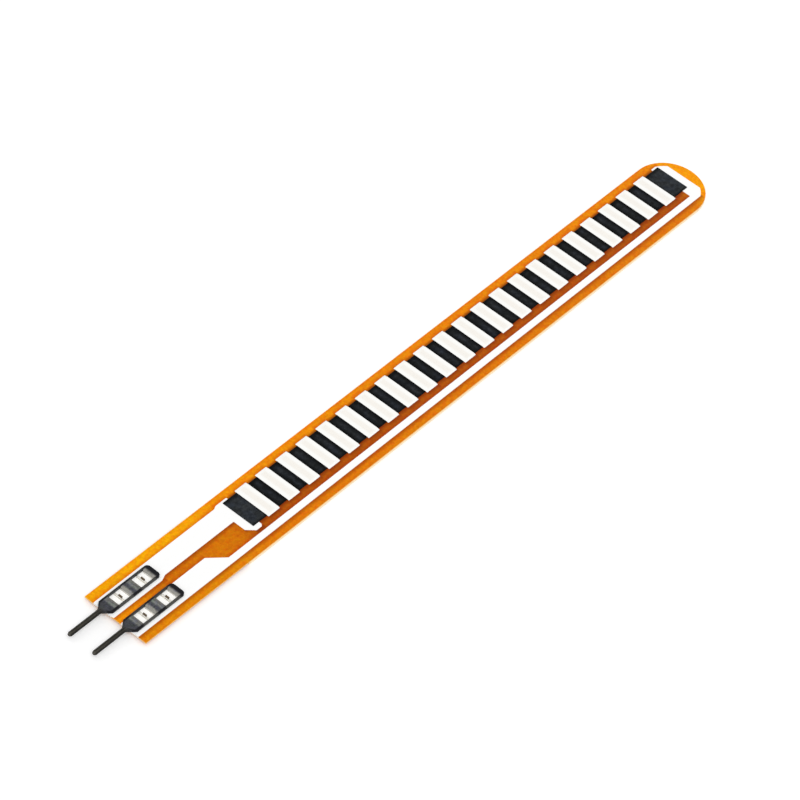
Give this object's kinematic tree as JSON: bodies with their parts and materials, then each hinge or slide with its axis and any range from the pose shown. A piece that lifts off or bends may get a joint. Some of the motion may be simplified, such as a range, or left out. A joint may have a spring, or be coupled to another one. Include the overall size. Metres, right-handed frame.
{
  "type": "flex sensor",
  "caption": "Thin printed resistive bend sensor: an amber film strip with a carbon track under silver pads, two printed leads and two crimped pins at one end.",
  "frame": {"origin": "middle of the carbon strip's length, on the back face of the film, on the strip's centre line", "axes": "+X along the strip from the pins to the round tip, +Y towards the near pin's side, +Z out of the printed face"},
  "size_m": [0.0758, 0.0064, 0.0008],
  "materials": {
    "amber_film": "glossy translucent amber film",
    "backing_film": "glossy amber film",
    "silver_ink": "matte pale silver ink",
    "carbon_ink": "matte black carbon ink",
    "terminal_metal": "dark tinned stamped metal"
  },
  "bodies": {
    "root": {"backing_film": "backing_film", "base_film": "amber_film", "near_lead": "silver_ink", "return_lead": "silver_ink", "carbon_strip": "carbon_ink", "terminal_pin_near": "terminal_metal", "terminal_pin_return": "terminal_metal", "silver_pad_01": "silver_ink", "silver_pad_02": "silver_ink", "silver_pad_03": "silver_ink", "silver_pad_04": "silver_ink", "silver_pad_05": "silver_ink", "silver_pad_06": "silver_ink", "silver_pad_07": "silver_ink", "silver_pad_08": "silver_ink", "silver_pad_09": "silver_ink", "silver_pad_10": "silver_ink", "silver_pad_11": "silver_ink", "silver_pad_12": "silver_ink", "silver_pad_13": "silver_ink", "silver_pad_14": "silver_ink", "silver_pad_15": "silver_ink", "silver_pad_16": "silver_ink", "silver_pad_17": "silver_ink", "silver_pad_18": "silver_ink", "silver_pad_19": "silver_ink", "silver_pad_20": "silver_ink", "silver_pad_21": "silver_ink", "silver_pad_22": "silver_ink"}
  },
  "joints": []
}
